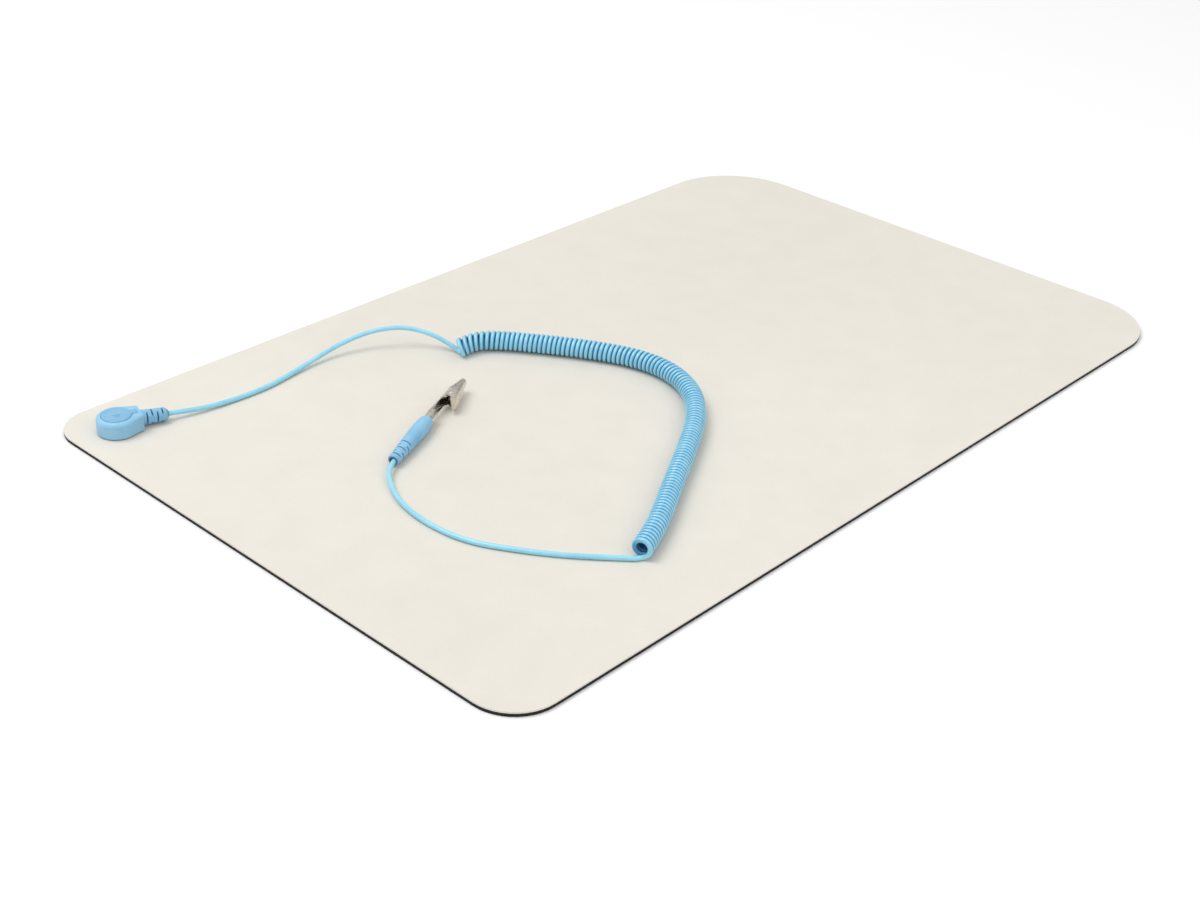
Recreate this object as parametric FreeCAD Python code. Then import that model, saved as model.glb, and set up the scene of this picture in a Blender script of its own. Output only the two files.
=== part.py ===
import FreeCAD, Part
import math
import os

from FreeCAD import Vector, Placement, Rotation, Matrix

# Desk mat with a snap-on coiled grounding cord that ends in an alligator clip.
# Millimetres, +Z up, origin at the middle of the mat's underside.
# +X runs along the mat's long side, +Y along its short side.

os.makedirs("parts", exist_ok=True)

# ---------------------------------------------------------------- dimensions
# mat
MAT_L = 450.0
MAT_W = 280.0
MAT_BOTTOM_T = 1.3          # black conductive foam-rubber layer
MAT_TOP_T = 0.7             # beige dissipative layer
MAT_T = MAT_BOTTOM_T + MAT_TOP_T
CORNER_R = {"far_left": 17.0, "near_left": 20.0, "near_right": 34.0, "far_right": 42.0}

# snap fastener, 10 mm class
SNAP_X, SNAP_Y = -206.6, 115.8
STUD_FLANGE_R = 6.6
STUD_FLANGE_T = 0.45
STUD_NECK_R = 4.4
STUD_BEAD_R = 4.8
STUD_TOP_Z = 5.35
STUD_WALL = 0.35
RIVET_R = 2.1
RIVET_BORE_R = 1.6
RIVET_FLANGE_R = 5.0
RIVET_FLANGE_T = 0.35

# snap head (moulded shell on the cord's end)
HEAD_ANGLE = -17.5          # degrees from +X, the way the tail points
HEAD_R = 8.6
HEAD_Z0 = 2.6
HEAD_Z1 = 9.65
HEAD_TOP_ROUND = 1.8        # edge radius round the head's front, easing to the tail's
TAIL_TOP_ROUND = 0.5
TAIL_X = 10.1
TAIL_HALF_W = 4.8
DISC_R = 6.35
DISC_GROOVE_R = 6.5
DISC_T = 1.1                # seat depth below the shell's top
DISC_PROUD = 0.35
TONGUE_HALF_W = 1.6         # the lid's tongue along the cord channel
TONGUE_X = 8.6
SOCKET_R = 6.3
SOCKET_Z0 = 2.9
SOCKET_Z1 = 6.2
SOCKET_WALL = 0.35
SOCKET_MOUTH_R = 5.05
RING_WIRE_R = 0.35
RING_R = STUD_BEAD_R + 0.06 + RING_WIRE_R
CORD_AXIS_Z = 6.0           # cord height where it enters the head

# ribbed strain relief on the snap head
RELIEF_LEN = 11.7
RELIEF_DROOP = 3.9          # degrees
RELIEF_R0 = 3.35
RELIEF_R1 = 2.9
RELIEF_SLOT = 0.65
RELIEF_CORE = 1.4

# cord
WIRE_D = 2.15
COIL_OD = 9.1
LEAD_Z = MAT_T + WIRE_D / 2 + 0.075
COIL_Z = MAT_T + COIL_OD / 2 + 0.06

# plug boot, banana pin and clip: a frame of their own, x along the pin
CLIP_ORIGIN = (-142.52, 14.37, 5.3)
CLIP_HEADING = 24.2
CLIP_RISE = 1.1
CLIP_ROLL = -7.0
BOOT_LEN = 34.9
PIN_R = 1.35
CAGE_R = 2.0
BARREL_IR = 2.1
BARREL_OR = 2.42
SHEET = 0.45
PIVOT_X, PIVOT_Y = 56.5, -2.2
PIVOT_R = 0.75
JAW_TIP_X = 72.0

MADE = []


def out(name, shape):
    if len(shape.Solids) == 1:
        shape = shape.Solids[0]
    if not shape.isValid():
        shape.fix(1e-5, 1e-5, 1e-4)
    print("%-22s solids %d valid %s volume %.3f" % (name, len(shape.Solids), shape.isValid(), shape.Volume))
    shape.exportStep("parts/" + name + ".step")
    MADE.append(name)
    return shape


def polygon(points, z):
    return Part.Face(Part.makePolygon([Vector(x, y, z) for x, y in points] + [Vector(points[0][0], points[0][1], z)]))


def revolve_x(profile):
    """Closed (x, r) profile turned about the X axis."""
    pts = [Vector(x, r, 0) for x, r in profile]
    face = Part.Face(Part.makePolygon(pts + [pts[0]]))
    return face.revolve(Vector(0, 0, 0), Vector(1, 0, 0), 360)


def revolve_z(profile):
    """Closed (r, z) profile turned about the Z axis."""
    pts = [Vector(r, 0, z) for r, z in profile]
    face = Part.Face(Part.makePolygon(pts + [pts[0]]))
    return face.revolve(Vector(0, 0, 0), Vector(0, 0, 1), 360)


def rod(a, b, r):
    a, b = Vector(*a), Vector(*b)
    return Part.makeCylinder(r, (b - a).Length, a, b - a)


def box(x0, x1, y0, y1, z0, z1):
    return Part.makeBox(x1 - x0, y1 - y0, z1 - z0, Vector(x0, y0, z0))


def tube(name, points, d):
    """A round bar along straight runs joined by tangent arcs."""
    P = [Vector(*p) for p in points]
    runs = [(P[i + 1] - P[i]).Length for i in range(len(P) - 1)]
    edges = []
    length = 0.0
    start = P[0]
    radii = []
    for i in range(1, len(P) - 1):
        d0 = (P[i] - P[i - 1]).normalize()
        d1 = (P[i + 1] - P[i]).normalize()
        turn = d0.getAngle(d1)
        t = 0.45 * min(runs[i - 1], runs[i])
        radius = t / math.tan(turn / 2)
        radii.append(round(radius, 1))
        a = P[i] - d0 * t
        b = P[i] + d1 * t
        to_centre = (d1 - d0).normalize()
        mid = P[i] + to_centre * (radius / math.cos(turn / 2) - radius)
        edges.append(Part.LineSegment(start, a).toShape())
        edges.append(Part.Arc(a, mid, b).toShape())
        length += (a - start).Length + radius * turn
        start = b
    edges.append(Part.LineSegment(start, P[-1]).toShape())
    length += (P[-1] - start).Length
    path = Part.Wire(edges)
    ring = Part.Wire(Part.makeCircle(d / 2, P[0], P[1] - P[0]))
    solid = path.makePipeShell([ring], True, False)
    want = math.pi * d * d / 4 * length
    print("%s: runs %s radii %s smallest %.1f length %.1f volume/section*length %.4f" % (
        name, [round(r, 1) for r in runs], radii, min(radii), length, solid.Volume / want))
    return solid


# ---------------------------------------------------------------- mat
def mat_outline(z):
    hx, hy = MAT_L / 2, MAT_W / 2
    corners = [(hx, -hy, CORNER_R["near_right"], -90), (hx, hy, CORNER_R["far_right"], 0),
               (-hx, hy, CORNER_R["far_left"], 90), (-hx, -hy, CORNER_R["near_left"], 180)]
    edges = []
    last = first = None
    for x, y, r, a0 in corners:
        cx = x - r if x > 0 else x + r
        cy = y - r if y > 0 else y + r
        pt = [Vector(cx + r * math.cos(math.radians(a0 + k)), cy + r * math.sin(math.radians(a0 + k)), z) for k in (0, 45, 90)]
        if last is not None:
            edges.append(Part.LineSegment(last, pt[0]).toShape())
        else:
            first = pt[0]
        edges.append(Part.Arc(*pt).toShape())
        last = pt[2]
    edges.append(Part.LineSegment(last, first).toShape())
    return Part.Face(Part.Wire(edges))


snap_hole = Part.makeCylinder(RIVET_R, 10, Vector(SNAP_X, SNAP_Y, -1))
snap_counterbore = Part.makeCylinder(RIVET_FLANGE_R, RIVET_FLANGE_T + 1, Vector(SNAP_X, SNAP_Y, -1))

mat_bottom = mat_outline(0).extrude(Vector(0, 0, MAT_BOTTOM_T)).cut(snap_hole).cut(snap_counterbore)
out("mat_bottom_layer", mat_bottom)
mat_top = mat_outline(MAT_BOTTOM_T).extrude(Vector(0, 0, MAT_TOP_T)).cut(snap_hole)
out("mat_top_layer", mat_top)

# ---------------------------------------------------------------- snap, local frame: z up, x along the head's tail
HEAD_PLACE = Placement(Vector(SNAP_X, SNAP_Y, 0), Rotation(Vector(0, 0, 1), HEAD_ANGLE))


def at_head(shape):
    s = shape.copy()
    s.Placement = HEAD_PLACE.multiply(s.Placement)
    return s


T = MAT_T
ft = T + STUD_FLANGE_T
w = STUD_WALL
stud = revolve_z([
    (RIVET_R, T), (STUD_FLANGE_R, T), (STUD_FLANGE_R, ft), (STUD_NECK_R + 0.15, ft), (STUD_NECK_R, ft + 0.15),
    (STUD_NECK_R, 3.55), (STUD_BEAD_R, 4.0), (STUD_BEAD_R, 4.55), (STUD_NECK_R - 0.1, STUD_TOP_Z), (0, STUD_TOP_Z),
    (0, STUD_TOP_Z - w), (STUD_NECK_R - 0.3, STUD_TOP_Z - w), (STUD_BEAD_R - w, 4.45), (STUD_BEAD_R - w, 4.1),
    (STUD_NECK_R - w, 3.65), (STUD_NECK_R - w, ft), (RIVET_R, ft)])
out("snap_stud", at_head(stud))

rivet = revolve_z([
    (RIVET_BORE_R, 0.0), (RIVET_FLANGE_R, 0.0), (RIVET_FLANGE_R, RIVET_FLANGE_T), (RIVET_R, RIVET_FLANGE_T),
    (RIVET_R, ft), (3.2, ft), (3.2, ft + 0.3), (RIVET_BORE_R, ft + 0.3)])
out("stud_rivet", at_head(rivet))

# socket in the head
sw = SOCKET_WALL
socket = revolve_z([
    (SOCKET_MOUTH_R, SOCKET_Z0), (SOCKET_R, SOCKET_Z0), (SOCKET_R, SOCKET_Z1), (0, SOCKET_Z1), (0, SOCKET_Z1 - sw),
    (SOCKET_R - sw, SOCKET_Z1 - sw), (SOCKET_R - sw, SOCKET_Z0 + sw), (SOCKET_MOUTH_R, SOCKET_Z0 + sw)])
out("snap_socket", at_head(socket))

# open wire ring that grips under the stud's bead, gap towards the tail
ring = Part.makeTorus(RING_R, RING_WIRE_R, Vector(0, 0, 3.7), Vector(0, 0, 1))
ring = ring.cut(box(0, 12, -1.1, 1.1, 2, 6))
out("socket_spring", at_head(ring))

# resistor laid over the socket, one lead to the socket, the other to the cord's ferrule
RES_Z = 7.37
res_profile = [(-3.2, 0), (-3.2, 0.75), (-2.9, 1.15), (-1.9, 1.15), (-1.6, 0.95), (1.6, 0.95), (1.9, 1.15), (2.9, 1.15), (3.2, 0.75), (3.2, 0)]
resistor = revolve_x(res_profile)
resistor.translate(Vector(0, 0, RES_Z))
out("resistor", at_head(resistor))

LEAD_R = 0.3
lead_a = rod((-3.2, 0, RES_Z), (-4.6, 0, RES_Z), LEAD_R).fuse(
    Part.makeSphere(LEAD_R, Vector(-4.6, 0, RES_Z))).fuse(rod((-4.6, 0, RES_Z), (-4.6, 0, SOCKET_Z1), LEAD_R)).removeSplitter()
out("resistor_lead_socket", at_head(lead_a))
knee = (5.6, 0, RES_Z)
knee2 = (7.3, 0, CORD_AXIS_Z)
lead_b = rod((3.2, 0, RES_Z), knee, LEAD_R).fuse(Part.makeSphere(LEAD_R, Vector(*knee))).fuse(
    rod(knee, knee2, LEAD_R)).fuse(Part.makeSphere(LEAD_R, Vector(*knee2))).fuse(rod(knee2, (7.9, 0, CORD_AXIS_Z), LEAD_R)).removeSplitter()
out("resistor_lead_cord", at_head(lead_b))

ferrule = rod((7.5, 0, CORD_AXIS_Z), (8.9, 0, CORD_AXIS_Z), 0.95)
ferrule = ferrule.cut(rod((7.5, 0, CORD_AXIS_Z), (7.9, 0, CORD_AXIS_Z), LEAD_R))
ferrule = ferrule.cut(rod((7.9, 0, CORD_AXIS_Z), (8.9, 0, CORD_AXIS_Z), 0.45))
out("cord_ferrule", at_head(ferrule))

# relief frame: x along the drooping axis, origin where the axis meets the tail's flat end
RELIEF_PLACE = Placement(Vector(TAIL_X, 0, CORD_AXIS_Z), Rotation(Vector(0, 1, 0), RELIEF_DROOP))


def at_relief(shape):
    s = shape.copy()
    s.Placement = HEAD_PLACE.multiply(RELIEF_PLACE).multiply(s.Placement)
    return s


def relief_point(s):
    return HEAD_PLACE.multiply(RELIEF_PLACE).multVec(Vector(s, 0, 0))


CORD_IN = 1.0               # the jacket starts this far along the relief's axis
conductor = rod((7.9, 0, CORD_AXIS_Z), (TAIL_X, 0, CORD_AXIS_Z), 0.45).fuse(Part.makeSphere(0.45, Vector(TAIL_X, 0, CORD_AXIS_Z)))
bit = rod((0, 0, 0), (CORD_IN, 0, 0), 0.45)
bit.Placement = RELIEF_PLACE
conductor = conductor.fuse(bit).removeSplitter()
out("conductor_snap_end", at_head(conductor))


def relief_r(s):
    return RELIEF_R0 + (RELIEF_R1 - RELIEF_R0) * s / RELIEF_LEN


relief = revolve_x([(-0.75, 0), (-0.75, 2.3), (-0.1, 2.3), (-0.1, RELIEF_R0 - 0.25), (0.15, RELIEF_R0), (0.9, relief_r(0.9)),
                    (10.2, relief_r(10.2)), (10.6, relief_r(10.6) - 0.1), (RELIEF_LEN, 1.75), (RELIEF_LEN, 0)])
relief = relief.cut(rod((CORD_IN, 0, 0), (RELIEF_LEN + 1, 0, 0), WIRE_D / 2))
for k, s0 in enumerate((1.75, 4.05, 6.35, 8.6)):
    for sign in (1, -1):
        w0, core = s0 + RELIEF_SLOT, RELIEF_CORE
        if k % 2 == 0:
            slot = box(s0, w0, core, 6, -6, 6) if sign > 0 else box(s0, w0, -6, -core, -6, 6)
        else:
            slot = box(s0, w0, -6, 6, core, 6) if sign > 0 else box(s0, w0, -6, 6, -6, -core)
        relief = relief.cut(slot)
# flat where it meets the tail: nothing of the outer body reaches back into the shell
relief_local = relief.copy()
relief_local.Placement = RELIEF_PLACE
inner_zone = box(TAIL_X - 2, TAIL_X, -2.25, 2.25, CORD_AXIS_Z - 2.25, CORD_AXIS_Z + 2.25)
outer_zone = box(TAIL_X, TAIL_X + 20, -6, 6, 0, 12)
relief_local = relief_local.common(outer_zone).fuse(relief_local.common(rod((TAIL_X - 0.7, 0, CORD_AXIS_Z), (TAIL_X, 0, CORD_AXIS_Z), 2.0)))
relief_local = relief_local.cut(conductor).removeSplitter()
out("strain_relief", at_head(relief_local))

# shell
ang = math.atan2(TAIL_HALF_W, TAIL_X) + math.acos(HEAD_R / math.hypot(TAIL_X, TAIL_HALF_W))
tx, ty = HEAD_R * math.cos(ang), HEAD_R * math.sin(ang)
shell_edges = [
    Part.LineSegment(Vector(TAIL_X, -TAIL_HALF_W, HEAD_Z0), Vector(TAIL_X, TAIL_HALF_W, HEAD_Z0)).toShape(),
    Part.LineSegment(Vector(TAIL_X, TAIL_HALF_W, HEAD_Z0), Vector(tx, ty, HEAD_Z0)).toShape(),
    Part.Arc(Vector(tx, ty, HEAD_Z0), Vector(-HEAD_R, 0, HEAD_Z0), Vector(tx, -ty, HEAD_Z0)).toShape(),
    Part.LineSegment(Vector(tx, -ty, HEAD_Z0), Vector(TAIL_X, -TAIL_HALF_W, HEAD_Z0)).toShape()]
shell = Part.Face(Part.Wire(shell_edges)).extrude(Vector(0, 0, HEAD_Z1 - HEAD_Z0))
half = shell.common(box(-20, 20, 0, 20, 0, 20))


def top_edges(solid, z, keep):
    return [e for e in solid.Edges if all(abs(v.Z - z) < 1e-6 for v in e.Vertexes) and keep(e)]


# one half at a time: the edge radius eases from the tail's to the head's, the same on both sides of the middle
side_edge = [e for e in top_edges(half, HEAD_Z1, lambda e: True)
             if abs(e.Vertexes[0].Y - e.Vertexes[-1].Y) > 1e-6 and abs(e.Vertexes[0].X - e.Vertexes[-1].X) > 1e-6 and e.Curve.TypeId == "Part::GeomLine"][0]
half = half.makeFillet(TAIL_TOP_ROUND, HEAD_TOP_ROUND, [side_edge])
other = half.mirror(Vector(0, 0, 0), Vector(0, 1, 0))
shell = half.fuse(other).removeSplitter()
shell = shell.cut(Part.makeCylinder(SOCKET_R, SOCKET_Z1 - HEAD_Z0 + 1, Vector(0, 0, HEAD_Z0 - 1)))
shell = shell.cut(Part.makeCylinder(DISC_GROOVE_R, 5, Vector(0, 0, HEAD_Z1 - DISC_T)))
shell = shell.cut(box(0, TONGUE_X + 0.15, -TONGUE_HALF_W - 0.15, TONGUE_HALF_W + 0.15, HEAD_Z1 - 0.6, HEAD_Z1 + 3))
shell = shell.cut(resistor).cut(lead_a).cut(lead_b).cut(rod((7.5, 0, CORD_AXIS_Z), (8.9, 0, CORD_AXIS_Z), 0.95)).cut(conductor).cut(relief_local)
out("snap_head_shell", at_head(shell))

disc_top = HEAD_Z1 + DISC_PROUD
disc = revolve_z([(0, HEAD_Z1 - DISC_T), (DISC_R, HEAD_Z1 - DISC_T), (DISC_R, disc_top - 0.3), (DISC_R - 0.1, disc_top - 0.1), (DISC_R - 0.35, disc_top), (0, disc_top)])
tongue = box(0, TONGUE_X, -TONGUE_HALF_W, TONGUE_HALF_W, HEAD_Z1 - 0.6, HEAD_Z1 + 0.2)
tongue = tongue.makeFillet(0.15, [e for e in tongue.Edges if all(abs(v.Z - HEAD_Z1 - 0.2) < 1e-6 for v in e.Vertexes)])
disc = disc.fuse(tongue)
# a plain earth sign in relief: a stem and three bars
for x0, x1, y0, y1 in ((-0.3, 0.3, -0.1, 2.3), (-2.1, 2.1, -0.55, -0.05), (-1.4, 1.4, -1.35, -0.85), (-0.7, 0.7, -2.15, -1.65)):
    disc = disc.fuse(box(x0, x1, y0, y1, disc_top - 0.2, disc_top + 0.12))
disc = disc.removeSplitter()
out("snap_head_cover", at_head(disc))

# ---------------------------------------------------------------- clip frame
al, be, ph = math.radians(CLIP_HEADING), math.radians(CLIP_RISE), math.radians(CLIP_ROLL)
U = Vector(math.cos(be) * math.cos(al), math.cos(be) * math.sin(al), math.sin(be))
V0 = Vector(-math.sin(al), math.cos(al), 0)
Z0 = U.cross(V0)
YL = V0 * math.cos(ph) + Z0 * math.sin(ph)
ZL = Z0 * math.cos(ph) - V0 * math.sin(ph)
CLIP_PLACE = Placement(Matrix(U.x, YL.x, ZL.x, CLIP_ORIGIN[0], U.y, YL.y, ZL.y, CLIP_ORIGIN[1], U.z, YL.z, ZL.z, CLIP_ORIGIN[2], 0, 0, 0, 1))


def at_clip(shape):
    s = shape.copy()
    s.Placement = CLIP_PLACE.multiply(s.Placement)
    return s


def clip_point(x, y=0.0, z=0.0):
    return CLIP_PLACE.multVec(Vector(x, y, z))


print("clip axis", tuple(round(c, 6) for c in U), "pivot axis", tuple(round(c, 6) for c in ZL),
      "pivot point", tuple(round(c, 4) for c in clip_point(PIVOT_X, PIVOT_Y, 0)), "tip", tuple(round(c, 3) for c in clip_point(JAW_TIP_X, -1, 0)))

# boot
JACKET_IN = 7.0
SLOT_W = 0.75
SLOT_CORE = 1.45
SLOT_TURN = 24.0            # the slot pattern sits turned about the boot's axis
boot = revolve_x([(0, 0), (0, 2.1), (0.4, 2.5), (2, 2.55), (5, 2.65), (10, 2.9), (15, 3.1), (21, 3.35), (27, 3.5), (30, 3.42), (33, 3.12), (34.5, 2.9), (BOOT_LEN, 2.72), (BOOT_LEN, 0)])
boot = boot.cut(revolve_x([(21.2, 0), (21.2, 2.5), (BOOT_LEN + 1, 2.5), (BOOT_LEN + 1, 0)]))
boot = boot.cut(rod((12.95, 0, 0), (19.4, 0, 0), 1.85)).cut(rod((19.4, 0, 0), (21.3, 0, 0), 2.2))
boot = boot.cut(rod((-1, 0, 0), (JACKET_IN, 0, 0), WIRE_D / 2)).cut(rod((JACKET_IN - 0.1, 0, 0), (13.0, 0, 0), 0.45))
slots = []
for c in (2.3, 7.1, 11.9):
    for sign in (1, -1):
        slots.append(box(c - SLOT_W / 2, c + SLOT_W / 2, -6, 6, SLOT_CORE if sign > 0 else -6, 6 if sign > 0 else -SLOT_CORE))
for c in (4.7, 9.5):
    for sign in (1, -1):
        slots.append(box(c - SLOT_W / 2, c + SLOT_W / 2, SLOT_CORE if sign > 0 else -6, 6 if sign > 0 else -SLOT_CORE, -6, 6))
for slot in slots:
    slot.rotate(Vector(0, 0, 0), Vector(1, 0, 0), SLOT_TURN)
    boot = boot.cut(slot)
out("plug_boot", at_clip(boot))

# banana pin: crimp body, collar and core
pin = revolve_x([(12.95, 0), (12.95, 1.85), (19.4, 1.85), (19.4, 2.2), (21.0, 2.2), (21.0, PIN_R), (37.0, PIN_R), (38.0, 0.8), (38.0, 0)])
pin = pin.cut(rod((12.0, 0, 0), (17.0, 0, 0), 0.45))
out("banana_pin", at_clip(pin))

# bulged leaf cage around the core
cage = revolve_x([(22.0, PIN_R), (22.0, PIN_R + 0.25), (23.3, PIN_R + 0.25), (26.0, CAGE_R - 0.1), (29.0, CAGE_R), (32.0, CAGE_R - 0.1), (34.7, PIN_R + 0.25), (36.0, PIN_R + 0.25),
                  (36.0, PIN_R), (34.6, PIN_R), (32.0, CAGE_R - 0.32), (29.0, CAGE_R - 0.24), (26.0, CAGE_R - 0.32), (23.4, PIN_R)])
for a in (0, 90):
    sl = box(23.4, 34.6, -0.22, 0.22, -4, 4)
    sl.rotate(Vector(0, 0, 0), Vector(1, 0, 0), a + 45)
    cage = cage.cut(sl)
out("banana_cage", at_clip(cage))

strand = rod((JACKET_IN, 0, 0), (17.0, 0, 0), 0.45)
out("conductor_clip_end", at_clip(strand))

# fixed jaw: barrel, open channel, jaw with teeth
BARREL_X0, BARREL_X1 = 22.0, 41.3
TEETH_X0 = 60.4
TEETH_Y = -1.15
TOOTH_H = 0.6
TEETH_GAP = 0.12


def zigzag(offset):
    n = 8
    return [(TEETH_X0 + (JAW_TIP_X - TEETH_X0) * k / n, TEETH_Y + (TOOTH_H if k % 2 else -TOOTH_H) + offset) for k in range(n + 1)]


def prism_z(side):
    return polygon(side, -8).extrude(Vector(0, 0, 16))


def prism_y(plan):
    return Part.Face(Part.makePolygon([Vector(x, -20, z) for x, z in plan] + [Vector(plan[0][0], -20, plan[0][1])])).extrude(Vector(0, 40, 0))


def at(points, x):
    """Height of a polyline over x, held level past its ends."""
    if x <= points[0][0]:
        return points[0][1]
    for (xa, ya), (xb, yb) in zip(points[:-1], points[1:]):
        if x <= xb:
            return ya + (yb - ya) * (x - xa) / (xb - xa)
    return points[-1][1]


def bevel_fold(body, back, half, c):
    """Take the sharp fold off the two long edges between the back and the cheeks."""
    up = 1 if back[0][1] > 0 else -1
    xs = sorted(set([30.0, 80.0] + [p[0] for p in back] + [p[0] for p in half]))
    edge = [(x, (up * at(back, x) + at(half, x) - c) / math.sqrt(2)) for x in xs]
    for side in (1, -1):
        wedge = prism_z([(x, up * w) for x, w in edge] + [(80.0, -20.0 * up), (30.0, -20.0 * up)])
        wedge.rotate(Vector(0, 0, 0), Vector(1, 0, 0), 45 * side)
        body = body.common(wedge)
    return body


def channel(back, side, half_out, half_in, inner_back, inner_side, fold):
    """Thin-walled channel: a folded back and two cheeks."""
    body = bevel_fold(prism_z(back + side).common(prism_y(mirror_plan(half_out))), back, half_out, fold)
    hollow = bevel_fold(prism_z(inner_back + inner_side).common(prism_y(mirror_plan(half_in))), inner_back, half_in, fold - 0.586 * SHEET)
    return body.cut(hollow)


def mirror_plan(half):
    return half + [(x, -z) for x, z in reversed(half)]


S = SHEET
fixed_back = [(40.0, 2.42), (41.3, 2.42), (43.0, 2.2), (55.4, 1.75), (61.9, 1.6), (64.9, 1.0), (71.0, 0.3)]
fixed_side = [(JAW_TIP_X, -0.4), (JAW_TIP_X, TEETH_Y - TOOTH_H + TEETH_GAP)] + list(reversed(zigzag(TEETH_GAP)))[1:] + [
    (59.2, -0.55), (58.4, -0.55), (57.7, -1.0), (PIVOT_X + 1.4, PIVOT_Y), (PIVOT_X + 1.0, PIVOT_Y - 1.0), (PIVOT_X, PIVOT_Y - 1.4), (PIVOT_X - 1.0, PIVOT_Y - 1.0),
    (PIVOT_X - 1.4, PIVOT_Y), (53.9, -1.6), (53.2, -0.6), (52.2, 0.3), (49.3, 0.3), (43.5, 0.1), (40.0, 0.1)]
fixed_inner = [(39.0, 1.97), (41.3, 1.97), (43.0, 1.75), (55.4, 1.3), (61.75, 1.15), (64.7, 0.55), (70.8, -0.15)]
fixed_inner_side = [(73.0, -1.0), (73.0, -12), (39.0, -12)]
fixed = channel(fixed_back, fixed_side, [(40.0, 2.4), (58.6, 2.4), (60.5, 2.75), (JAW_TIP_X, 1.7)],
                [(39.0, 2.4 - S), (58.7, 2.4 - S), (60.6, 2.75 - S), (JAW_TIP_X - S, 1.7 - S + 0.03)],
                fixed_inner, fixed_inner_side, 1.2)
barrel = rod((BARREL_X0, 0, 0), (BARREL_X1, 0, 0), BARREL_OR).cut(rod((BARREL_X0 - 1, 0, 0), (BARREL_X1 + 1, 0, 0), BARREL_IR))
# open seam of the rolled barrel
seam = box(BARREL_X0 - 1, BARREL_X1 + 1, -5, 0, -0.55, 0.55)
seam.rotate(Vector(0, 0, 0), Vector(1, 0, 0), -45)
barrel = barrel.cut(seam)
fixed = fixed.cut(rod((39.5, 0, 0), (BARREL_X1, 0, 0), BARREL_IR))
fixed = fixed.fuse(barrel).removeSplitter()
fixed = fixed.cut(rod((PIVOT_X, PIVOT_Y, -5), (PIVOT_X, PIVOT_Y, 5), PIVOT_R + 0.04))
out("clip_jaw_fixed", at_clip(fixed))

# moving jaw, its rear curled in as a short thumb pad
moving_back = [(50.6, -5.8), (52.0, -6.1), (54.0, -5.9), (57.4, -5.3), (63.0, -4.2), (69.4, -2.95), (JAW_TIP_X, -2.65)]
moving_side = [(JAW_TIP_X, TEETH_Y - TOOTH_H - TEETH_GAP)] + list(reversed(zigzag(-TEETH_GAP)))[1:] + [
    (59.0, -0.9), (57.8, -0.3), (55.2, -0.3), (54.2, -1.0), (53.6, -2.6), (52.6, -3.9), (51.2, -4.3), (50.0, -4.6), (50.0, -5.0)]
moving_inner = [(50.85, -5.4), (52.05, -5.64), (54.05, -5.44), (57.4, -4.85), (63.0, -3.75), (69.4, -2.5), (73.0, -2.08)]
moving_inner_side = [(73.0, 12), (50.45, 12), (50.45, -4.95)]
moving = channel(moving_back, moving_side, [(49.0, 3.0), (58.5, 3.0), (60.5, 2.75), (JAW_TIP_X, 1.7)],
                 [(49.0, 3.0 - S), (58.6, 3.0 - S), (60.6, 2.75 - S), (JAW_TIP_X - S, 1.7 - S + 0.03)],
                 moving_inner, moving_inner_side, 0.9)
moving = moving.cut(rod((PIVOT_X, PIVOT_Y, -5), (PIVOT_X, PIVOT_Y, 5), PIVOT_R + 0.04))
out("clip_jaw_moving", at_clip(moving))

rivet_pin = rod((PIVOT_X, PIVOT_Y, -3.0), (PIVOT_X, PIVOT_Y, 3.0), PIVOT_R)
for z0, z1, r0, r1 in ((3.0, 3.4, 1.3, 0.9), (-3.0, -3.4, 1.3, 0.9)):
    rivet_pin = rivet_pin.fuse(Part.makeCone(r0, r1, 0.4, Vector(PIVOT_X, PIVOT_Y, z0), Vector(0, 0, 1 if z1 > 0 else -1)))
out("clip_pivot_pin", at_clip(rivet_pin.removeSplitter()))

# torsion spring: close-wound turns on the pivot and two legs
SPRING_R, SPRING_WIRE_R = 1.15, 0.25
spring = None
for k in range(6):
    ring = Part.makeTorus(SPRING_R, SPRING_WIRE_R, Vector(PIVOT_X, PIVOT_Y, -1.15 + 0.46 * k), Vector(0, 0, 1))
    spring = ring if spring is None else spring.fuse(ring)
spring = spring.fuse(rod((PIVOT_X, PIVOT_Y + SPRING_R, -1.15), (48.4, 1.04, -1.15), SPRING_WIRE_R))
spring = spring.fuse(rod((PIVOT_X, PIVOT_Y - SPRING_R, 1.15), (51.4, -5.2, 1.15), SPRING_WIRE_R))
out("clip_spring", at_clip(spring))

# ---------------------------------------------------------------- cord
r0 = relief_point(CORD_IN)
r1 = relief_point(14.2)
LEAD_SNAP = [tuple(r0), tuple(r1),
             (-170.3, 104.9, 3.75), (-155.5, 103.1, LEAD_Z), (-138.0, 102.6, LEAD_Z), (-121.5, 105.4, LEAD_Z + 0.1), (-106.0, 107.7, 4.5),
             (-91.2, 107.4, 7.2), (-77.6, 102.7, 10.4), (-66.2, 94.6, 11.7), (-58.2, 84.4, 9.3), (-53.6, 75.6, 5.2), (-52.7, 70.6, 3.3)]
COIL = [(-54.6, 68.6, COIL_Z), (-46.2, 69.2, COIL_Z), (-37.9, 63.8, COIL_Z), (-28.6, 52.1, COIL_Z), (-14.5, 31.5, COIL_Z), (-2.6, 8.5, COIL_Z),
        (-0.1, -12.5, COIL_Z), (-8.2, -33.0, COIL_Z), (-24.5, -49.0, COIL_Z), (-46.2, -62.6, COIL_Z), (-70.5, -76.3, COIL_Z), (-95.0, -90.6, COIL_Z),
        (-107.3, -97.1, COIL_Z), (-119.4, -102.1, COIL_Z)]
b_in = clip_point(JACKET_IN)
b_out = clip_point(-5.7)
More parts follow.
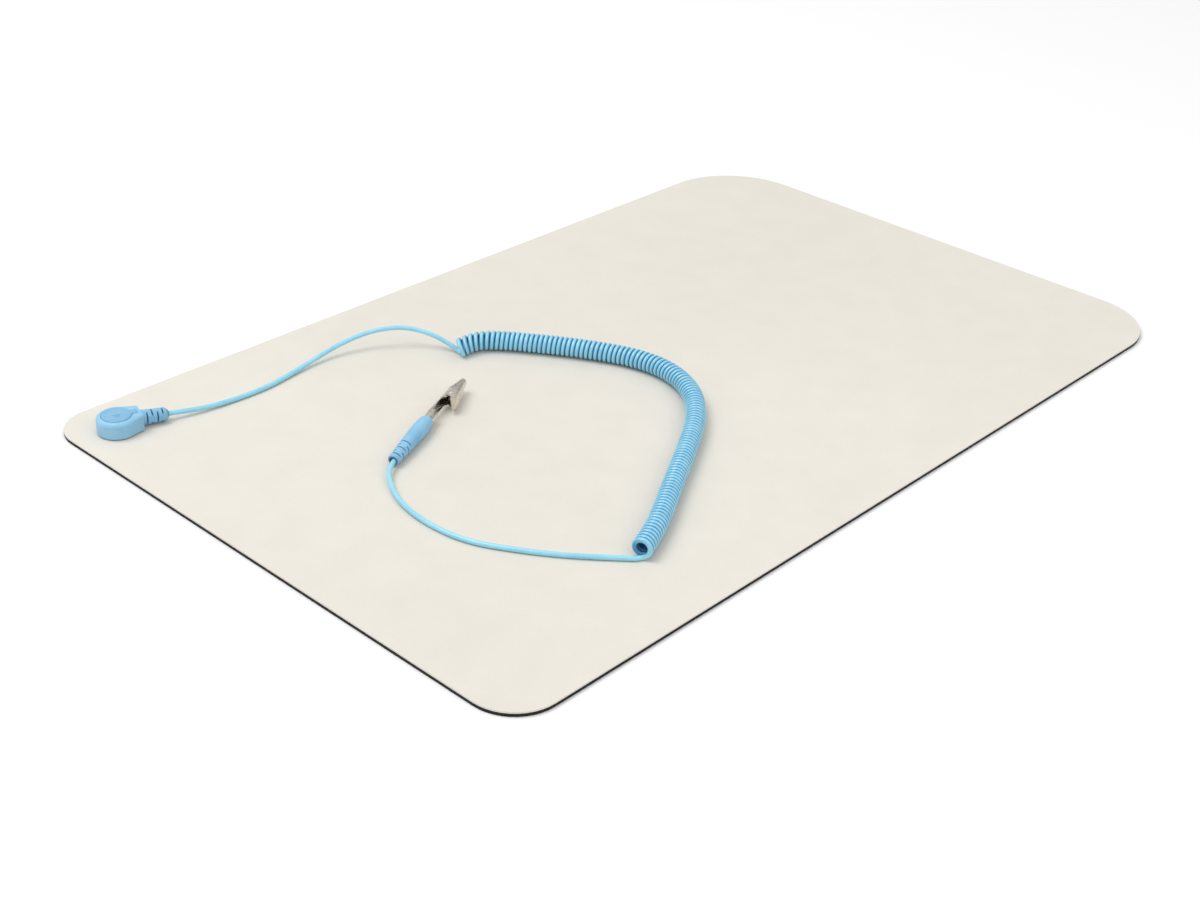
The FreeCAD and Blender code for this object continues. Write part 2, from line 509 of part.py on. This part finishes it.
LEAD_CLIP = [(-119.4, -103.0, LEAD_Z), (-127.9, -93.9, LEAD_Z), (-139.8, -80.2, LEAD_Z), (-150.6, -64.6, LEAD_Z), (-160.0, -47.5, LEAD_Z),
             (-162.3, -28.5, LEAD_Z), (-160.4, -12.0, LEAD_Z + 0.1), (-155.3, 1.0, 3.7), tuple(b_out), tuple(b_in)]

out("cord_lead_snap", tube("cord_lead_snap", LEAD_SNAP, WIRE_D))
out("cord_coil", tube("cord_coil", COIL, COIL_OD))
out("cord_lead_clip", tube("cord_lead_clip", LEAD_CLIP, WIRE_D))
print("LEAD_SNAP", [tuple(round(c, 3) for c in p) for p in LEAD_SNAP])
print("LEAD_CLIP", [tuple(round(c, 3) for c in p) for p in LEAD_CLIP])
print(len(MADE), "nodes")
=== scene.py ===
import math

import bmesh
import bpy
import numpy as np
from mathutils import Matrix, Vector


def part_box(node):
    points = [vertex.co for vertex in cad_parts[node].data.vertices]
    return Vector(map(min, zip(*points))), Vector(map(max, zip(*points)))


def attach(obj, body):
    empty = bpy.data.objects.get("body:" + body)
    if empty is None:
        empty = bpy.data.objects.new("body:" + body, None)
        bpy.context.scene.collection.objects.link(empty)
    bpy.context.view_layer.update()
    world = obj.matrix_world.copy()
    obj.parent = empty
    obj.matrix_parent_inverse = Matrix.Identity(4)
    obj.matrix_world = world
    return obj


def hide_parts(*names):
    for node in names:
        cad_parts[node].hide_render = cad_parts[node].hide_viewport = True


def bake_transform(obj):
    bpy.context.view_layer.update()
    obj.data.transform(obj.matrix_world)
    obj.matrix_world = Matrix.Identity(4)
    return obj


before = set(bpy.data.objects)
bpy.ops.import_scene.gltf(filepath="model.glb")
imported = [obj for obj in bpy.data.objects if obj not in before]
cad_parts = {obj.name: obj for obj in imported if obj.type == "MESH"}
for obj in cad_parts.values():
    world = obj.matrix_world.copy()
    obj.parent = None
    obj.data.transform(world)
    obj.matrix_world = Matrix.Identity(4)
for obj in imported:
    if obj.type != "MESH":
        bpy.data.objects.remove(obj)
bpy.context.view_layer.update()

scene = bpy.context.scene
MM = 0.001

# ------------------------------------------------------------------ helpers


def srgb(r, g, b, a=1.0):
    def f(c):
        c /= 255.0
        return c / 12.92 if c <= 0.04045 else ((c + 0.055) / 1.055) ** 2.4
    return (f(r), f(g), f(b), a)


def new_mat(name):
    m = bpy.data.materials.new(name)
    m.use_nodes = True
    nt = m.node_tree
    nt.nodes.clear()
    out = nt.nodes.new("ShaderNodeOutputMaterial")
    bsdf = nt.nodes.new("ShaderNodeBsdfPrincipled")
    nt.links.new(bsdf.outputs["BSDF"], out.inputs["Surface"])
    return m, nt, bsdf


def node(nt, kind, **props):
    n = nt.nodes.new(kind)
    for k, v in props.items():
        if k in n.inputs:
            n.inputs[k].default_value = v
        else:
            setattr(n, k, v)
    return n


def coords(nt):
    return nt.nodes.new("ShaderNodeTexCoord").outputs["Object"]


def noise(nt, vec, scale, detail=3.0, rough=0.55):
    n = nt.nodes.new("ShaderNodeTexNoise")
    n.inputs["Scale"].default_value = scale
    n.inputs["Detail"].default_value = detail
    n.inputs["Roughness"].default_value = rough
    nt.links.new(vec, n.inputs["Vector"])
    return n.outputs["Fac"]


def ramp(nt, fac, stops):
    r = nt.nodes.new("ShaderNodeValToRGB")
    e = r.color_ramp.elements
    while len(e) < len(stops):
        e.new(0.5)
    for k, (p, c) in enumerate(stops):
        e[k].position = p
        e[k].color = c
    nt.links.new(fac, r.inputs["Fac"])
    return r.outputs["Color"]


def map_range(nt, val, a, b, c, d):
    r = nt.nodes.new("ShaderNodeMapRange")
    for k, v in zip(("From Min", "From Max", "To Min", "To Max"), (a, b, c, d)):
        r.inputs[k].default_value = v
    nt.links.new(val, r.inputs["Value"])
    return r.outputs["Result"]


def math_node(nt, op, a, b):
    n = nt.nodes.new("ShaderNodeMath")
    n.operation = op
    for k, v in enumerate((a, b)):
        if isinstance(v, (int, float)):
            n.inputs[k].default_value = v
        else:
            nt.links.new(v, n.inputs[k])
    return n.outputs[0]


def bump(nt, bsdf, height, distance, strength=1.0, normal=None):
    b = nt.nodes.new("ShaderNodeBump")
    b.inputs["Strength"].default_value = strength
    b.inputs["Distance"].default_value = distance
    nt.links.new(height, b.inputs["Height"])
    if normal is not None:
        nt.links.new(normal, b.inputs["Normal"])
    nt.links.new(b.outputs["Normal"], bsdf.inputs["Normal"])
    return b.outputs["Normal"]


# ------------------------------------------------------------------ materials


def mat_top_material():
    m, nt, s = new_mat("mat_vinyl_beige")
    v = coords(nt)
    broad = noise(nt, v, 3.2, 2.0)
    mottle = noise(nt, v, 60.0, 4.0, 0.6)
    speck = noise(nt, v, 900.0, 2.0, 0.6)
    mix = math_node(nt, "ADD", math_node(nt, "MULTIPLY", broad, 0.5), math_node(nt, "MULTIPLY", mottle, 0.3))
    mix = math_node(nt, "ADD", mix, math_node(nt, "MULTIPLY", speck, 0.2))
    col = ramp(nt, mix, [(0.36, srgb(219, 214, 204)), (0.64, srgb(226, 221, 211))])
    nt.links.new(col, s.inputs["Base Color"])
    nt.links.new(map_range(nt, mottle, 0.3, 0.7, 0.50, 0.62), s.inputs["Roughness"])
    s.inputs["Specular IOR Level"].default_value = 0.35
    fine = noise(nt, v, 1500.0, 3.0, 0.6)
    mid = noise(nt, v, 420.0, 2.0, 0.5)
    h = math_node(nt, "ADD", math_node(nt, "MULTIPLY", fine, 0.6), math_node(nt, "MULTIPLY", mid, 0.4))
    bump(nt, s, h, 0.00006, 0.5)
    return m


def mat_bottom_material():
    m, nt, s = new_mat("mat_rubber_black")
    v = coords(nt)
    n = noise(nt, v, 500.0, 3.0)
    col = ramp(nt, n, [(0.3, srgb(20, 20, 22)), (0.7, srgb(38, 38, 40))])
    nt.links.new(col, s.inputs["Base Color"])
    s.inputs["Roughness"].default_value = 0.75
    s.inputs["Specular IOR Level"].default_value = 0.3
    bump(nt, s, n, 0.00008, 0.6)
    return m


def shade(nt, col, fac):
    """Multiply a colour by a grey factor."""
    mul = nt.nodes.new("ShaderNodeVectorMath")
    mul.operation = "SCALE"
    nt.links.new(col, mul.inputs[0])
    nt.links.new(fac, mul.inputs["Scale"])
    return mul.outputs[0]


def axis_distance(nt, v, origin, direction):
    """Distance of the shaded point from a line (metres)."""
    sub = nt.nodes.new("ShaderNodeVectorMath")
    sub.operation = "SUBTRACT"
    nt.links.new(v, sub.inputs[0])
    sub.inputs[1].default_value = origin
    crs = nt.nodes.new("ShaderNodeVectorMath")
    crs.operation = "CROSS_PRODUCT"
    nt.links.new(sub.outputs[0], crs.inputs[0])
    crs.inputs[1].default_value = direction
    ln = nt.nodes.new("ShaderNodeVectorMath")
    ln.operation = "LENGTH"
    nt.links.new(crs.outputs[0], ln.inputs[0])
    return ln.outputs["Value"]


def blue_material(name, lo, hi, rough, grain, soft, axis_line=None, groove=False):
    m, nt, s = new_mat(name)
    v = coords(nt)
    n = noise(nt, v, 90.0, 3.0)
    fine = noise(nt, v, 1400.0, 3.0)
    mix = math_node(nt, "ADD", math_node(nt, "MULTIPLY", n, 0.75), math_node(nt, "MULTIPLY", fine, 0.25))
    col = ramp(nt, mix, [(0.35, lo), (0.65, hi)])
    if axis_line:
        # the floors of the relief slots sit in shade
        r = axis_distance(nt, v, axis_line[0], axis_line[1])
        col = shade(nt, col, map_range(nt, r, axis_line[2], axis_line[3], 0.07, 1.0))
    if groove:
        att = nt.nodes.new("ShaderNodeAttribute")
        att.attribute_name = "groove"
        # light that reaches a groove has bounced off the blue cord, so it turns deeper blue there
        deep = nt.nodes.new("ShaderNodeMix")
        deep.data_type = "RGBA"
        deep.blend_type = "MULTIPLY"
        nt.links.new(att.outputs["Fac"], deep.inputs[0])
        nt.links.new(col, deep.inputs[6])
        deep.inputs[7].default_value = (0.18, 0.38, 0.58, 1.0)
        col = deep.outputs[2]
        s.inputs["Coat Weight"].default_value = 0.45
        s.inputs["Coat Roughness"].default_value = 0.10
    nt.links.new(col, s.inputs["Base Color"])
    nt.links.new(map_range(nt, n, 0.3, 0.7, rough - 0.04, rough + 0.06), s.inputs["Roughness"])
    s.inputs["Specular IOR Level"].default_value = 0.5
    s.inputs["Subsurface Weight"].default_value = soft
    s.inputs["Subsurface Radius"].default_value = (0.6, 0.9, 1.2)
    s.inputs["Subsurface Scale"].default_value = 0.0012
    bump(nt, s, fine, grain, 0.35)
    return m


def nickel_material(name="nickel_plate", lo=srgb(198, 192, 181), hi=srgb(234, 228, 216), rough=0.22):
    m, nt, s = new_mat(name)
    v = coords(nt)
    n = noise(nt, v, 260.0, 4.0, 0.6)
    scr = noise(nt, v, 1600.0, 3.0, 0.6)
    col = ramp(nt, n, [(0.3, lo), (0.7, hi)])
    nt.links.new(col, s.inputs["Base Color"])
    s.inputs["Metallic"].default_value = 1.0
    nt.links.new(map_range(nt, scr, 0.3, 0.7, rough - 0.07, rough + 0.12), s.inputs["Roughness"])
    h = math_node(nt, "ADD", math_node(nt, "MULTIPLY", n, 0.7), math_node(nt, "MULTIPLY", scr, 0.3))
    bump(nt, s, h, 0.00003, 0.5)
    return m


def plain_noise_material(name, lo, hi, metal, rough, scale=600.0, dist=0.00003):
    m, nt, s = new_mat(name)
    v = coords(nt)
    n = noise(nt, v, scale, 3.0)
    nt.links.new(ramp(nt, n, [(0.3, lo), (0.7, hi)]), s.inputs["Base Color"])
    s.inputs["Metallic"].default_value = metal
    nt.links.new(map_range(nt, n, 0.3, 0.7, rough - 0.05, rough + 0.08), s.inputs["Roughness"])
    bump(nt, s, n, dist, 0.5)
    return m


def resistor_material():
    """Lacquered body with colour bands round the resistor's own axis."""
    m, nt, s = new_mat("resistor_lacquer")
    lo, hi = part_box("resistor")
    v = coords(nt)
    ca, sa = math.cos(math.radians(HEAD_ANGLE)), math.sin(math.radians(HEAD_ANGLE))
    dot = nt.nodes.new("ShaderNodeVectorMath")
    dot.operation = "DOT_PRODUCT"
    nt.links.new(v, dot.inputs[0])
    dot.inputs[1].default_value = (ca, sa, 0)
    mid = SNAP[0] * ca + SNAP[1] * sa
    t = map_range(nt, dot.outputs["Value"], mid - 0.0032, mid + 0.0032, 0.0, 1.0)
    body = srgb(214, 190, 150)
    bands = [(0.0, body), (0.16, body), (0.161, srgb(110, 60, 30)), (0.25, srgb(110, 60, 30)), (0.251, body), (0.34, body), (0.341, srgb(20, 20, 20)),
             (0.42, srgb(20, 20, 20)), (0.421, body), (0.50, body), (0.501, srgb(30, 120, 50)), (0.58, srgb(30, 120, 50)), (0.581, body), (0.76, body),
             (0.761, srgb(190, 150, 60)), (0.84, srgb(190, 150, 60)), (0.841, body)]
    nt.links.new(ramp(nt, t, bands), s.inputs["Base Color"])
    s.inputs["Roughness"].default_value = 0.3
    return m


SNAP = (-0.2066, 0.1158)
HEAD_ANGLE = -17.5

M_TOP = mat_top_material()
M_BOTTOM = mat_bottom_material()
PVC_LO, PVC_HI = srgb(124, 180, 216), srgb(142, 196, 228)
M_BLUE = blue_material("pvc_blue", srgb(132, 186, 218), srgb(150, 202, 231), 0.42, 0.00002, 0.08)
# the cover, the lid on the head's top, gets a darker copy of the blue PVC: painted shade, for the top taking less
# light than the side wall
M_COVER_SHADED = blue_material("pvc_blue_cover_painted_shade", srgb(112, 166, 203), srgb(131, 183, 215), 0.48, 0.00002, 0.06)
M_RELIEF = blue_material("pvc_blue_relief", PVC_LO, PVC_HI, 0.42, 0.00002, 0.04,
                         ((-0.196968, 0.112763, 0.0060), (0.951520, -0.300020, -0.068020), 0.0013, 0.0027))
M_BOOT = blue_material("pvc_blue_boot", PVC_LO, PVC_HI, 0.42, 0.00002, 0.04,
                       ((-0.14252, 0.01437, 0.0053), (0.911952, 0.409847, 0.019197), 0.0013, 0.0024))
M_CORD = blue_material("cord_blue", srgb(136, 208, 234), srgb(158, 224, 245), 0.20, 0.00001, 0.02, None, True)
M_NICKEL = nickel_material()
M_STEEL = plain_noise_material("spring_wire", srgb(150, 150, 152), srgb(196, 196, 198), 1.0, 0.28)
M_BRASS = plain_noise_material("brass_plain", srgb(190, 150, 80), srgb(222, 186, 110), 1.0, 0.26)
M_COPPER = plain_noise_material("copper_strand", srgb(180, 100, 62), srgb(214, 132, 88), 1.0, 0.3)
M_TIN = plain_noise_material("tinned_wire", srgb(170, 170, 172), srgb(205, 205, 208), 1.0, 0.3)
M_RES = resistor_material()

FINISH = {
    "mat_top_layer": M_TOP, "mat_bottom_layer": M_BOTTOM,
    "snap_stud": M_NICKEL, "stud_rivet": M_NICKEL, "snap_socket": M_NICKEL, "socket_spring": M_STEEL,
    "snap_head_shell": M_BLUE, "snap_head_cover": M_COVER_SHADED, "strain_relief": M_RELIEF, "plug_boot": M_BOOT,
    "resistor": M_RES, "resistor_lead_socket": M_TIN, "resistor_lead_cord": M_TIN, "cord_ferrule": M_BRASS,
    "conductor_snap_end": M_COPPER, "conductor_clip_end": M_COPPER, "banana_pin": M_NICKEL, "banana_cage": M_BRASS,
    "clip_jaw_fixed": M_NICKEL, "clip_jaw_moving": M_NICKEL, "clip_pivot_pin": M_NICKEL, "clip_spring": M_STEEL,
    "cord_lead_snap": M_CORD, "cord_coil": M_CORD, "cord_lead_clip": M_CORD,
}
for name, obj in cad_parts.items():
    obj.data.materials.clear()
    obj.data.materials.append(FINISH[name])

# ------------------------------------------------------------------ cord

WIRE_D = 2.15
COIL_OD = 9.1
LEAD_SNAP = [(-196.016, 112.463, 5.932), (-183.456, 108.503, 5.034), (-170.3, 104.9, 3.75), (-155.5, 103.1, 3.15), (-138.0, 102.6, 3.15), (-121.5, 105.4, 3.25),
             (-106.0, 107.7, 4.5), (-91.2, 107.4, 7.2), (-77.6, 102.7, 10.4), (-66.2, 94.6, 11.7), (-58.2, 84.4, 9.3), (-53.6, 75.6, 5.2), (-52.7, 70.6, 3.3)]
COIL_Z = 6.61
COIL = [(-54.6, 68.6), (-46.2, 69.2), (-37.9, 63.8), (-28.6, 52.1), (-14.5, 31.5), (-2.6, 8.5), (-0.1, -12.5), (-8.2, -33.0), (-24.5, -49.0),
        (-46.2, -62.6), (-70.5, -76.3), (-95.0, -90.6), (-107.3, -97.0), (-118.9, -101.6)]
LEAD_CLIP = [(-119.4, -103.0, 3.15), (-127.9, -93.9, 3.15), (-139.8, -80.2, 3.15), (-150.6, -64.6, 3.15), (-160.0, -47.5, 3.15), (-162.3, -28.5, 3.15),
             (-160.4, -12.0, 3.25), (-155.3, 1.0, 3.7), (-147.718, 12.034, 5.191), (-136.136, 17.239, 5.434)]


def nurbs_points(name, pts, step=0.0005):
    """Dense points (m) along a quadratic NURBS curve with these control points (mm)."""
    cu = bpy.data.curves.new(name, "CURVE")
    cu.dimensions = "3D"
    sp = cu.splines.new("NURBS")
    sp.points.add(len(pts) - 1)
    for p, q in zip(sp.points, pts):
        p.co = (q[0] * MM, q[1] * MM, q[2] * MM, 1.0)
    sp.order_u = 3
    sp.use_endpoint_u = True
    sp.resolution_u = 40
    cu.resolution_u = 40
    ob = bpy.data.objects.new(name, cu)
    scene.collection.objects.link(ob)
    me = bpy.data.meshes.new_from_object(ob)
    P = np.array([v.co[:] for v in me.vertices])
    E = {}
    for e in me.edges:
        a, b = e.vertices
        E.setdefault(a, []).append(b)
        E.setdefault(b, []).append(a)
    ends = [v for v, n in E.items() if len(n) == 1]
    start = min(ends, key=lambda v: np.linalg.norm(P[v] - np.array(pts[0]) * MM))
    order, prev, cur = [start], None, start
    while True:
        nxt = [v for v in E[cur] if v != prev]
        if not nxt:
            break
        prev, cur = cur, nxt[0]
        order.append(cur)
    bpy.data.objects.remove(ob)
    bpy.data.curves.remove(cu)
    P = P[order]
    bpy.data.meshes.remove(me)
    return resample(P, step)


def resample(P, step):
    d = np.r_[0, np.cumsum(np.linalg.norm(np.diff(P, axis=0), axis=1))]
    n = max(2, int(round(d[-1] / step)) + 1)
    s = np.linspace(0, d[-1], n)
    return np.stack([np.interp(s, d, P[:, k]) for k in range(3)], 1)


def unit(v):
    return v / np.linalg.norm(v)


def hermite(p0, m0, p1, m1, n):
    t = np.linspace(0, 1, n)[:, None]
    return (2 * t**3 - 3 * t**2 + 1) * p0 + (t**3 - 2 * t**2 + t) * m0 + (-2 * t**3 + 3 * t**2) * p1 + (t**3 - t**2) * m1


axis = nurbs_points("coil_axis", [(x, y, COIL_Z) for x, y in COIL], 0.0002)
arc = np.r_[0, np.cumsum(np.linalg.norm(np.diff(axis, axis=0), axis=1))]
tan = np.gradient(axis, arc, axis=0)
tan /= np.linalg.norm(tan, axis=1)[:, None]
head_dir = np.unwrap(np.arctan2(tan[:, 1], tan[:, 0]))
curv = np.abs(np.gradient(head_dir, arc))
k = 41
curv = np.convolve(np.pad(curv, k // 2, mode="edge"), np.ones(k) / k, mode="valid")
RC = (COIL_OD - WIRE_D) / 2 * MM
D = WIRE_D * MM
# turns touch on the inside of a bend, so the pitch on the axis opens with the bend
pitch = np.maximum(0.0022, (D + 0.00003) / np.maximum(0.3, 1 - curv * RC))
# the first turns lean back from the rest and fan open at the top
LEAN = 0.0214
u = np.clip(arc / LEAN, 0, 1)
lean = math.radians(28.0) * (1 - u) ** 1.6
turned = np.interp(LEAN, arc, head_dir)
facing = np.where(u < 1, turned + (math.radians(-30.0) - turned) * (1 - u) ** 1.7, head_dir)
pitch = np.where(u < 1, 0.0022 + 0.0010 * (1 - u), pitch)
pitch = pitch * (1 + 0.004 * np.sin(arc * 210.0) + 0.003 * np.sin(arc * 487.0 + 1.3))
turns = np.r_[0, np.cumsum(0.5 * (1 / pitch[1:] + 1 / pitch[:-1]) * np.diff(arc))]
TH0 = math.radians(-90.0)
# whole turns so that the wire leaves at the bottom of the last ring
end_angle = math.radians(-78.0)
total = turns[-1]
total_angle = 2 * math.pi * math.floor(total) + ((TH0 - end_angle) % (2 * math.pi))
if total_angle > 2 * math.pi * total:
    total_angle -= 2 * math.pi
scale = total_angle / (2 * math.pi * total)
SEG = 28
nh = int(total_angle / (2 * math.pi) * SEG)
th = np.linspace(0, total_angle, nh)
s_of = np.interp(th, 2 * math.pi * turns * scale, arc)
A = np.stack([np.interp(s_of, arc, axis[:, i]) for i in range(3)], 1)
HD = np.interp(s_of, arc, facing)
EL = np.interp(s_of, arc, lean)
A[:, 2] = (2.0 + WIRE_D / 2 + 0.06) * MM + RC * np.cos(EL)
eh = np.stack([-np.sin(HD), np.cos(HD), np.zeros(nh)], 1)
ev = np.stack([-np.sin(EL) * np.cos(HD), -np.sin(EL) * np.sin(HD), np.cos(EL)], 1)
ang = TH0 - th
rr = RC * (1 + 0.004 * np.sin(th * 0.37) + 0.003 * np.sin(th * 0.113 + 0.5)) - 0.00003
helix = A + rr[:, None] * (np.cos(ang)[:, None] * eh + np.sin(ang)[:, None] * ev)

lead1 = nurbs_points("lead1", LEAD_SNAP)
lead2 = nurbs_points("lead2", LEAD_CLIP)


def join(first, second, cut_first, cut_second, k0=1.0, k1=1.0, n=14):
    """First path then second, with cut_first / cut_second points dropped and a smooth bridge between."""
    a = first[: len(first) - cut_first]
    b = second[cut_second:]
    t0, t1 = unit(a[-1] - a[-2]), unit(b[1] - b[0])
    gap = np.linalg.norm(b[0] - a[-1])
    bridge = hermite(a[-1], t0 * gap * k0, b[0], t1 * gap * k1, n)
    return np.vstack([a, bridge[1:-1], b])


path = join(lead1, helix, 10, int(SEG * 0.10))
path = join(path, lead2, int(SEG * 0.06), 8)
seg = np.linalg.norm(np.diff(path, axis=0), axis=1)
keep = np.r_[True, seg > 1e-6]
path = path[keep]
path[:, 2] = np.maximum(path[:, 2], (2.0 + WIRE_D / 2 + 0.01) * MM)


def tube_mesh(name, P, radius, sides, caps=True):
    T = np.gradient(P, axis=0)
    T /= np.linalg.norm(T, axis=1)[:, None]
    n = np.cross(T[0], [0, 0, 1.0])
    if np.linalg.norm(n) < 1e-6:
        n = np.cross(T[0], [0, 1.0, 0])
    n = unit(n)
    N = np.empty_like(P)
    N[0] = n
    for i in range(1, len(P)):
        v = N[i - 1] - T[i] * (N[i - 1] @ T[i])
        N[i] = v / np.linalg.norm(v)
    B = np.cross(T, N)
    a = np.linspace(0, 2 * math.pi, sides, endpoint=False)
    R = radius if np.ndim(radius) else np.full(len(P), radius)
    V = P[:, None, :] + R[:, None, None] * (np.cos(a)[None, :, None] * N[:, None, :] + np.sin(a)[None, :, None] * B[:, None, :])
    verts = V.reshape(-1, 3)
    m = len(P)
    i = np.arange(m - 1)[:, None] * sides
    j = np.arange(sides)[None, :]
    j2 = (j + 1) % sides
    faces = np.stack([i + j, i + j2, i + sides + j2, i + sides + j], -1).reshape(-1, 4)
    faces = [tuple(f) for f in faces.tolist()]
    if caps:
        faces.append(tuple(range(sides))[::-1])
        faces.append(tuple((m - 1) * sides + q for q in range(sides)))
    me = bpy.data.meshes.new(name)
    me.from_pydata([tuple(v) for v in verts.tolist()], [], faces)
    me.update()
    me.polygons.foreach_set("use_smooth", [True] * len(me.polygons))
    ob = bpy.data.objects.new(name, me)
    scene.collection.objects.link(ob)
    normals = np.cos(a)[None, :, None] * N[:, None, :] + np.sin(a)[None, :, None] * B[:, None, :]
    return ob, normals


def smoothstep(x, lo, hi):
    t = np.clip((x - lo) / (hi - lo), 0, 1)
    return t * t * (3 - 2 * t)


cord, cord_normals = tube_mesh("grounding_cord", path, D / 2, 14)
cord.data.materials.append(M_CORD)
# shade of the grooves between turns and of the coil's inside, held as a point attribute
ring_n = np.cross(eh, ev)
ring_n *= np.sign(np.sum(ring_n * np.stack([np.cos(HD), np.sin(HD), 0 * HD], 1), axis=1))[:, None]
near = np.empty(len(path), int)
dist = np.empty(len(path))
for i0 in range(0, len(path), 400):
    dd = np.linalg.norm(path[i0:i0 + 400, None, :] - helix[None, :, :], axis=2)
    near[i0:i0 + 400] = dd.argmin(1)
    dist[i0:i0 + 400] = dd.min(1)
weight = 1 - smoothstep(dist, 0.0002, 0.0015)
along = np.einsum("ijk,ik->ij", cord_normals, ring_n[near])
radial = path - A[near]
radial /= np.maximum(1e-9, np.linalg.norm(radial, axis=1))[:, None]
inward = -np.einsum("ijk,ik->ij", cord_normals, radial)
first = smoothstep(th[near], 0.0, 2 * math.pi)[:, None]
last = smoothstep(total_angle - th[near], 0.0, 2 * math.pi)[:, None]
side = np.where(along < 0, smoothstep(-along, 0.38, 0.98) * first, smoothstep(along, 0.26, 0.92) * last)
inner = smoothstep(inward, -0.1, 0.8) * np.minimum(1, 0.35 + 0.65 * last)
groove = np.clip(np.maximum(side, inner) * weight[:, None], 0, 1)
att = cord.data.attributes.new("groove", "FLOAT", "POINT")
att.data.foreach_set("value", groove.reshape(-1).astype(np.float32))
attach(cord, "snap_head")
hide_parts("cord_lead_snap", "cord_coil", "cord_lead_clip")

# ------------------------------------------------------------------ clip spring: one wire, coil and both legs in one tube

U = np.array([0.911952, 0.409847, 0.019197])
ZL = np.array([-0.067337, 0.103349, 0.992363])
YL = np.cross(ZL, U)
ORIGIN = np.array([-142.52, 14.37, 5.3])


def clip_at(x, y, z):
    return (ORIGIN + x * U + y * YL + z * ZL) * MM


PX, PY = 56.5, -2.2
SR, TURNS = 1.15, 4.5
q = np.linspace(0, 1, 90)
sa = math.pi / 2 - q * TURNS * 2 * math.pi
turn_pts = np.stack([PX + SR * np.cos(sa), PY + SR * np.sin(sa), -1.15 + 2.3 * q], 1)
leg_in = np.linspace([48.4, 1.04, -1.15], [56.0, PY + SR + 0.11, -1.15], 14)
leg_out = np.linspace([56.0, PY - SR - 0.17, 1.15], [51.4, -5.2, 1.15], 12)
spring_path = np.array([clip_at(*w) for w in np.vstack([leg_in, turn_pts[1:-1], leg_out])])
spring, _unused = tube_mesh("torsion_spring", spring_path, 0.25 * MM, 12)
spring.data.materials.append(M_STEEL)
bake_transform(spring)
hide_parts("clip_spring")

# ------------------------------------------------------------------ stage, light, camera

floor_me = bpy.data.meshes.new("floor")
floor_me.from_pydata([(-6, -6, 0), (6, -6, 0), (6, 6, 0), (-6, 6, 0)], [], [(0, 1, 2, 3)])
floor = bpy.data.objects.new("floor", floor_me)
scene.collection.objects.link(floor)
fm, fnt, fs = new_mat("floor_white")
fs.inputs["Base Color"].default_value = (0.93, 0.93, 0.93, 1)
fs.inputs["Roughness"].default_value = 0.9
floor.data.materials.append(fm)
floor.location.z = -0.0002

world = bpy.data.worlds.new("studio")
scene.world = world
world.use_nodes = True
bg = world.node_tree.nodes["Background"]
# brighter overhead than at the horizon, so bare metal has something to reflect
wnt = world.node_tree
wco = wnt.nodes.new("ShaderNodeTexCoord")
wsep = wnt.nodes.new("ShaderNodeSeparateXYZ")
wnt.links.new(wco.outputs["Generated"], wsep.inputs[0])
wramp = ramp(wnt, map_range(wnt, wsep.outputs["Z"], -0.2, 1.0, 0.0, 1.0), [(0.0, (0.42, 0.42, 0.42, 1)), (0.22, (0.55, 0.55, 0.55, 1)), (0.5, (0.9, 0.9, 0.9, 1)), (1.0, (1.15, 1.15, 1.15, 1))])
wnt.links.new(wramp, bg.inputs["Color"])
bg.inputs["Strength"].default_value = 0.74


def area(name, loc, target, size, power, color=(1, 1, 1)):
    li = bpy.data.lights.new(name, "AREA")
    li.shape = "DISK"
    li.size = size
    li.energy = power
    li.color = color
    ob = bpy.data.objects.new(name, li)
    ob.location = loc
    d = Vector(target) - Vector(loc)
    ob.rotation_euler = d.to_track_quat("-Z", "Y").to_euler()
    scene.collection.objects.link(ob)
    return ob


area("key", (-0.70, 0.75, 1.9), (-0.02, 0.0, 0.0), 1.4, 19.5)
area("fill", (-0.2, -1.4, 1.3), (0.0, 0.0, 0.0), 1.6, 5.9)

cam_data = bpy.data.cameras.new("camera")
cam = bpy.data.objects.new("camera", cam_data)
scene.collection.objects.link(cam)
right = Vector((0.6827093915660203, -0.729652396550419, 0.03892642901403226))
down = Vector((-0.34505688543418195, -0.36890014630105583, -0.8630460172398233))
fwd = Vector((0.6440835601705855, 0.5757777889666201, -0.503623177833084))
rot = Matrix((right, -down, -fwd)).transposed()
cam.matrix_world = Matrix.Translation(Vector((-0.5660280, -0.4777995, 0.3901600))) @ rot.to_4x4()
cam_data.sensor_width = 36.0
cam_data.lens = 1826.8682566185955 * 36.0 / 1200.0
cam_data.clip_start = 0.01
cam_data.clip_end = 50
scene.camera = cam

scene.view_settings.view_transform = "Standard"
scene.view_settings.look = "None"
scene.view_settings.exposure = 0.0
scene.view_settings.gamma = 1.0
